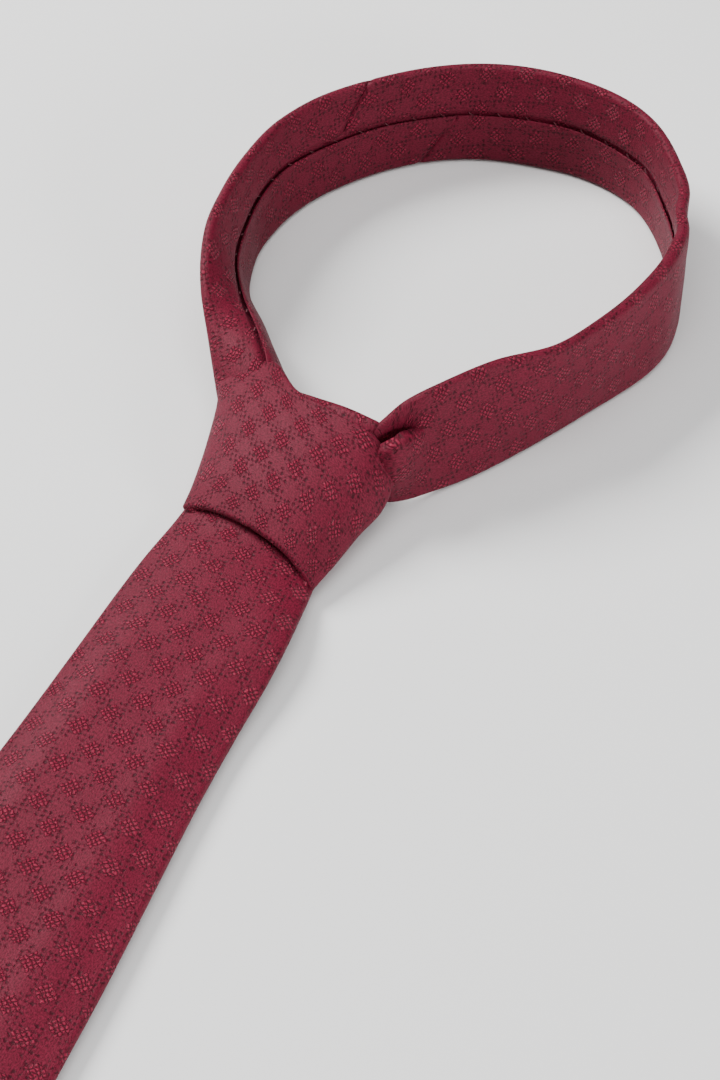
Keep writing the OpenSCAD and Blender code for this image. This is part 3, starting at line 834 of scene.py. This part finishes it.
# The band's upper edge, middle and lower edge, from the knot's left side round the loop to its right side
NECK_TOP = [
    (-19, 31, 5), (-25.8, 39, 8), (-32.3, 48.2, 12.5), (-44.5, 65.5, 25), (-51.5, 83.5, 31),
    (-54, 100, 33), (-54, 118, 33), (-52.4, 135.6, 33), (-44, 153, 33), (-29, 171, 33),
    (-10, 184.5, 33), (10, 190, 33), (30, 188.7, 33), (49, 180, 33), (62, 163.8, 33),
    (70.3, 147.3, 33), (73.3, 131.5, 33), (72.8, 117, 33), (67.2, 96.3, 33), (59.5, 77.4, 34),
    (46.5, 62.5, 35), (36, 49, 34.5), (29, 40.5, 31.5), (20.5, 32, 22), (11, 25, 12),
]
NECK_MID = [
    (-9, 36, 11), (-13, 42.5, 14), (-19.2, 53.3, 18.8), (-37.5, 74.3, 17), (-46.5, 88, 16.5),
    (-50.5, 103, 17), (-53, 118, 17), (-51, 134, 17), (-43, 151, 17), (-30, 167, 17),
    (-12, 180, 17), (8, 186, 17), (28, 186.5, 17), (48, 178.5, 17), (62, 163, 17),
    (70.7, 146.5, 17), (74.5, 131, 17), (74.6, 116.5, 17), (68.8, 97, 17), (60, 78.7, 17),
    (49, 62, 17), (39, 48, 17), (31, 38.8, 17), (21.5, 30.5, 13), (12, 24, 8),
]
NECK_LOW = [
    (-6, 48, 8.5), (-12, 54, 9), (-22, 62.5, 8.5), (-37, 81, 4), (-45, 93, 1.5),
    (-49.3, 104.2, 0.3), (-50, 117.2, 0.3), (-48.4, 133, 0.3), (-41.4, 148.6, 0.3), (-30.8, 163.8, 0.3),
    (-13.6, 177.4, 0.3), (7, 184, 0.3), (26, 185.3, 0.3), (47.3, 178.6, 0.3), (62, 161.5, 0.3),
    (70.3, 145.6, 0.3), (74.8, 130.5, 0.3), (75.2, 115.4, 0.3), (69.2, 97.6, 0.3), (60.2, 80.3, 0.3),
    (51.2, 62.2, 0.3), (41.2, 47.8, 0.3), (33, 36.4, 1.6), (23, 29, 3.5), (13, 23, 5),
]
NECK_RAILS = [np.array(r, float) for r in (NECK_TOP, NECK_MID, NECK_LOW)]
NECK_THICK = 1.7
NECK_HALF = 16.5
NECK_RUNS = len(NECK_TOP) - 3
SEAM_SHARE = 8 / NECK_RUNS
# Where the knot squeezes the band's right end, the cloth dips behind a lip: how far it goes out and up,
# by place across the band, and the shares of the band between which the squeeze sets in
MOUTH_F = (-1, -0.85, -0.65, -0.5, -0.38, -0.28, -0.15, 0.1, 0.5, 1)
MOUTH_OUT = (0, -0.6, -1.4, -1.0, 1.0, 4.2, 5.2, 5.0, 3.0, 0.3)
MOUTH_UP = (0, -3.4, -8.5, -10, -5, 4.6, 5.0, 1.6, 0, 0)
MOUTH_AXIS = np.array([0.64, -0.77, 0])
MOUTH_FROM, MOUTH_TO = 0.93, 0.975


def neck_surface(share, f):
    """The middle of the band's thickness, by share of its length and from its upper to its lower edge."""
    share, f = np.broadcast_arrays(np.asarray(share, float), np.asarray(f, float))
    v = ((f + 1) / 2)[..., None]
    a, b, c = (rail(r, share) for r in NECK_RAILS)
    points = a * (2 * (v - 0.5) * (v - 1)) + b * (4 * v * (1 - v)) + c * (2 * v * (v - 0.5))
    squeezed = ease((share - MOUTH_FROM) / (MOUTH_TO - MOUTH_FROM)) * ease((1 - share) / (1 - MOUTH_TO))
    out, up = through(MOUTH_F, MOUTH_OUT, f) * squeezed, through(MOUTH_F, MOUTH_UP, f) * squeezed
    return points + out[..., None] * MOUTH_AXIS + up[..., None] * np.array([0, 0, 1])


fine_s = np.linspace(0, 1, 1201)
fine_length = lengths(neck_surface, fine_s)
NECK_LENGTH = fine_length[-1]
SEAM_AT = float(np.interp(SEAM_SHARE, fine_s, fine_length))


# At the back's seam the upper flap is tucked in and the lower one stands out over it
TUCK_IN, TUCK_OUT = 1.15, 0.4
# How deep the cloth dips at the join of the band's two cloths
JOIN_DIP = 0.36
# Slight kinks at the loop's right turn: height, distance from the band's right end and reach
KINKS = ((0.6, 148, 12), (-0.7, 138, 9), (0.5, 129, 10))
GATHER_HEIGHT = 0.45


def neck_ripple(start, join_row):
    """How the band's faces wave, pucker and stand out, by place along the whole band."""

    def ripple(along, across, out):
        v = along + start
        f = across / NECK_HALF
        to_end = NECK_LENGTH - v
        front = out > 0
        back = 1.0 - front
        wave = 0.22 * np.sin(v / 9.5 + 2.1 * f) * np.sin(v / 23 + f) + 0.16 * np.sin(v / 5.1 - 3 * f)
        upper = np.arange(f.shape[1]) < f.shape[1] // 2
        tuck_in = TUCK_IN * ease((across + 1.9) / 1.5)
        tuck_out = TUCK_OUT * ease(1.2 - f / 0.25)
        tucked = np.where(upper, tuck_in, -tuck_out) * back
        gathers = GATHER_HEIGHT * np.sin(to_end * 1.1 + 5 * f)
        gathers = gathers * bump_at(to_end, 19, 11) * bump_at(f, -0.45, 0.45)
        kinks = sum(height * bump_at(to_end, at, reach) for height, at, reach in KINKS)
        kinks = kinks * bump_at(f, -0.9, 0.9)
        join = np.zeros(f.shape)
        join[join_row] = JOIN_DIP
        return wave * ease(v / 20) + tucked + gathers + kinks + np.where(front, -join, join)

    return ripple


# The bias join's slant and how far from the join the cloth slants
JOIN_SLANT = 0.55
SHEAR_REACH = 80
# The band swells a little towards its right end: how much, how far from that end and over what reach
SWELL, SWELL_AT, SWELL_REACH = 0.5, 112, 30


def neck_half_loop(name, start, end, join_row, start_pattern):
    """One of the band's two cloths, whose end at the join is cut on the bias."""
    along = shares(start, end, 1.7)
    s = np.interp(along, fine_length, fine_s)
    thick = NECK_THICK + SWELL * bump_at(along, NECK_LENGTH - SWELL_AT, SWELL_REACH)
    section = folded_section(spans(neck_surface, s), thick, 0.1, hem=6, roll=0.3, lap=4.0)

    def shear(v):
        to_seam = np.abs(v + start - SEAM_AT)
        return JOIN_SLANT * ease(1 - to_seam / SHEAR_REACH)

    return strip(name, neck_surface, s, section, ripple=neck_ripple(start, join_row), shear=shear,
                 start=start + start_pattern)


neck_left = neck_half_loop("neck_cloth_left", 0.5, SEAM_AT, -1, 0.0)
neck_right = neck_half_loop("neck_cloth_right", SEAM_AT, NECK_LENGTH - 0.5, 0, 4.5)


def neck_core(name, start, end):
    """The band's wool from one distance along it to another."""
    s = np.interp(shares(start, end, 4), fine_length, fine_s)
    return core(name, neck_surface, s, inset=2.2, low=0.45, high=0.8, material=WOOL)


neck_wool_left = neck_core("neck_wool_left", 6, SEAM_AT - 0.5)
neck_wool_right = neck_core("neck_wool_right", SEAM_AT + 0.5, NECK_LENGTH - 24)
seam_s = np.interp(shares(16, NECK_LENGTH - 34, 3), fine_length, fine_s)
neck_seam = seam_stitches("neck_seam_thread", neck_surface, seam_s, NECK_THICK - 0.8, pitch=9, reach=0.6)

# ---- knot ----

# The front wrap's outer face: nine places from under its left side to under its right, five from its lower
# edge to its upper
WRAP = [
    [(-14, 3, 2), (-15, 10, 2.4), (-17, 22, 3), (-19, 33, 3.6), (-21, 42, 4.5)],
    [(-20.2, 4, 4.6), (-20.6, 10.5, 6.2), (-22.9, 24.5, 8.6), (-25.8, 36.5, 10.6), (-28.9, 44, 12.4)],
    [(-14.8, 3.3, 8.4), (-16.2, 12, 11.6), (-18.9, 25.5, 14.4), (-21.8, 37.5, 16.2), (-24.4, 46.4, 16.9)],
    [(-6, 1.5, 10.9), (-7.2, 10.8, 15.3), (-9.6, 23, 18.6), (-12.8, 37.5, 20.1), (-16.1, 52.7, 20.1)],
    [(5.2, -1.6, 12.2), (5.2, 7.8, 16.8), (3.4, 19, 20.6), (0.4, 31, 22.8), (-4, 42.3, 23.2)],
    [(15, -4.8, 11.3), (16.2, 4.8, 15.6), (15.8, 16, 19.8), (13.4, 27, 23.4), (9.5, 36.4, 26)],
    [(21.4, -7.3, 8.2), (23.5, 1.4, 11), (25, 12.5, 15.2), (25.6, 23.6, 20), (23.8, 33.4, 24.6)],
    [(24.4, -8.6, 4.2), (26.4, 0.9, 5.4), (28.5, 11.9, 7.4), (31, 22.8, 10), (31, 32, 14.5)],
    [(18.5, -6.5, 2), (20.5, 2.2, 2.2), (24, 12, 2.6), (28.5, 21.4, 3.6), (28, 29.5, 6)],
]
WRAP_THICK = 1.45
PASS_GAP = 0.3


def knot_pass(name, surface, s, thick, start, ripple=None, inset=0.0):
    """One pass of the knot, folded to the whole width of its surface."""
    section = folded_section(spans(surface, s), thick, PASS_GAP)
    return strip(name, surface, s, section, ripple=ripple, start=start, inset=inset)


wrap_surface = net_surface(WRAP)
wrap_s = shares(0, 1, 0.011)


def wrap_ripple(along, across, out):
    """Faint waves in the front wrap's cloth."""
    return 0.14 * np.sin(along / 7.3 + across / 11) * np.sin(across / 6.1 + 0.7)


front_wrap = knot_pass("front_wrap_cloth", wrap_surface, wrap_s, WRAP_THICK, 12.0,
                       ripple=wrap_ripple, inset=WRAP_THICK)

# The pass that the knot lies on, from its left side to its right
BACK_WRAP = [
    [(-19, 5, 4.4), (-20.5, 14, 4.9), (-22, 24, 5.6), (-24, 34, 6.4), (-26, 42, 7.4)],
    [(-16.5, 4.6, 1.6), (-18, 14, 1.6), (-19.5, 24, 1.6), (-21, 33, 1.6), (-22.5, 40, 1.6)],
    [(-2, 0.4, 1.6), (-2, 10, 1.6), (-1, 20, 1.6), (-0.5, 29, 1.6), (-1, 37, 1.6)],
    [(10, -2.6, 1.6), (11, 6, 1.6), (12, 15.5, 1.6), (13, 25, 1.6), (13, 33.5, 1.6)],
    [(15, -4, 1.6), (16, 3, 1.6), (17.5, 12.5, 1.6), (19.5, 21, 1.6), (20.5, 29.5, 1.6)],
    [(18.5, -4.5, 3.4), (19.5, 2.5, 3.8), (21, 12.5, 4.4), (23, 21.5, 5), (23.5, 29, 5.6)],
]
back_surface = net_surface([row[::-1] for row in BACK_WRAP])
back_s = shares(0.04, 0.96, 0.016)
back_wrap = knot_pass("back_wrap_cloth", back_surface, back_s, 1.4, 80.0)

# The fold over the knot's top, from its back to under the front wrap
OVER_TOP = [
    [(-13, 43, 4.8), (-5, 42.5, 4.8), (4.5, 39.5, 4.8), (13, 36.5, 4.8), (20, 34, 4.8)],
    [(-14, 46.5, 10.5), (-5.5, 45.8, 12), (4.5, 42.6, 13), (14, 39.6, 13), (22, 37, 11)],
    [(-12.5, 46.8, 15), (-5, 44.4, 18.3), (4.5, 41.4, 21), (14, 39.4, 22.8), (23.6, 37.6, 22)],
    [(-11.5, 45.5, 18), (-4.2, 42.2, 21.6), (4.3, 39.4, 24.6), (13.8, 37.2, 26.6), (24.2, 35.8, 26.6)],
    [(-9.5, 42, 18.2), (-3, 39, 21.2), (5, 35.6, 23), (13, 32.4, 24.4), (22.2, 31.2, 23.2)],
    [(-7, 34, 15.4), (-1.5, 32, 17.6), (5, 29, 19), (12, 26, 20), (21, 25, 17)],
]
over_surface = net_surface(OVER_TOP)
over_s = shares(0, 1, 0.02)
OVER_THICK = 1.2
over_top = knot_pass("over_top_cloth", over_surface, over_s, OVER_THICK, 140.0, inset=OVER_THICK)


def under_wrap(depth, left, right, low, high):
    """A surface that lies depth under the front wrap's outer face and runs down the tie."""

    def surface(share, f):
        share, f = np.broadcast_arrays(np.asarray(share, float), np.asarray(f, float))
        s = 0.5 + np.where(f < 0, f * (0.5 - left), f * (right - 0.5))
        g = high + (low - high) * share
        return wrap_surface(s, g) - normals_of(wrap_surface, s, g) * depth

    return surface


def across_wrap(depth, left, right, low, high):
    """A surface that lies depth under the front wrap's outer face and runs across the tie."""

    def surface(share, f):
        share, f = np.broadcast_arrays(np.asarray(share, float), np.asarray(f, float))
        s = left + (right - left) * share
        g = low + (high - low) * (f + 1) / 2
        return wrap_surface(s, g) - normals_of(wrap_surface, s, g) * depth

    return surface


pass_surface = under_wrap(4.6, 0.22, 0.78, -0.55, 0.62)
pass_s = shares(0, 1, 0.05)
blade_pass = knot_pass("blade_pass_cloth", pass_surface, pass_s, 1.2, 20.0)
cross_surface = across_wrap(7.8, 0.3, 0.7, -0.3, 0.45)
cross_s = shares(0, 1, 0.05)
first_cross = knot_pass("first_cross_cloth", cross_surface, cross_s, 1.1, 50.0)


def tail_pass_surface(share, f):
    """The tail's own run down through the knot."""
    share, f = np.broadcast_arrays(np.asarray(share, float), np.asarray(f, float))
    y = 36 - 30 * share
    x = 1.5 + 11.5 * f - 2.5 * (1 - share)
    return np.stack([x, y, 9.2 - 1.0 * share + 1.2 * (1 - f * f)], -1)


tail_pass_s = shares(0, 1, 0.05)
tail_pass = knot_pass("tail_pass_cloth", tail_pass_surface, tail_pass_s, 1.1, 60.0)

# ---- how the pieces move ----

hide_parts("blade_shell")
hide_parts("blade_interlining")
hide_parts("blade_tipping")
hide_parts("blade_slip_stitch")
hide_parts("blade_bar_tack")
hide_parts("keeper_loop")
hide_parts("keeper_tacks")
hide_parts("tail_shell")
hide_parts("tail_interlining")
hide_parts("tail_tipping")
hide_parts("tail_slip_stitch")
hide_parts("tail_bar_tack")
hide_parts("neck_shell_left", "neck_root_left")
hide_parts("neck_shell_right", "neck_root_right")
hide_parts("neck_interlining_left")
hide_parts("neck_interlining_right")
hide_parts("neck_slip_stitch")
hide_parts("knot_front_wrap")
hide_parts("knot_back_wrap")
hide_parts("knot_over_top_pass")
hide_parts("knot_blade_pass")
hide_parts("knot_first_cross")
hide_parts("knot_tail_pass")

for piece in (blade_cloth, blade_wool, blade_seam):
    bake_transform(piece)
for piece in (blade_tipping, blade_bar, keeper, keeper_tacks):
    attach(piece, "blade")
for piece in (tail_cloth, tail_wool, tail_seam):
    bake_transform(piece)
for piece in (tail_tipping, tail_bar):
    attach(piece, "tail")
for piece in (neck_left, neck_right, neck_wool_left, neck_wool_right, neck_seam):
    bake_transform(piece)
for piece in (front_wrap, back_wrap, over_top, blade_pass, first_cross, tail_pass):
    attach(piece, "knot")
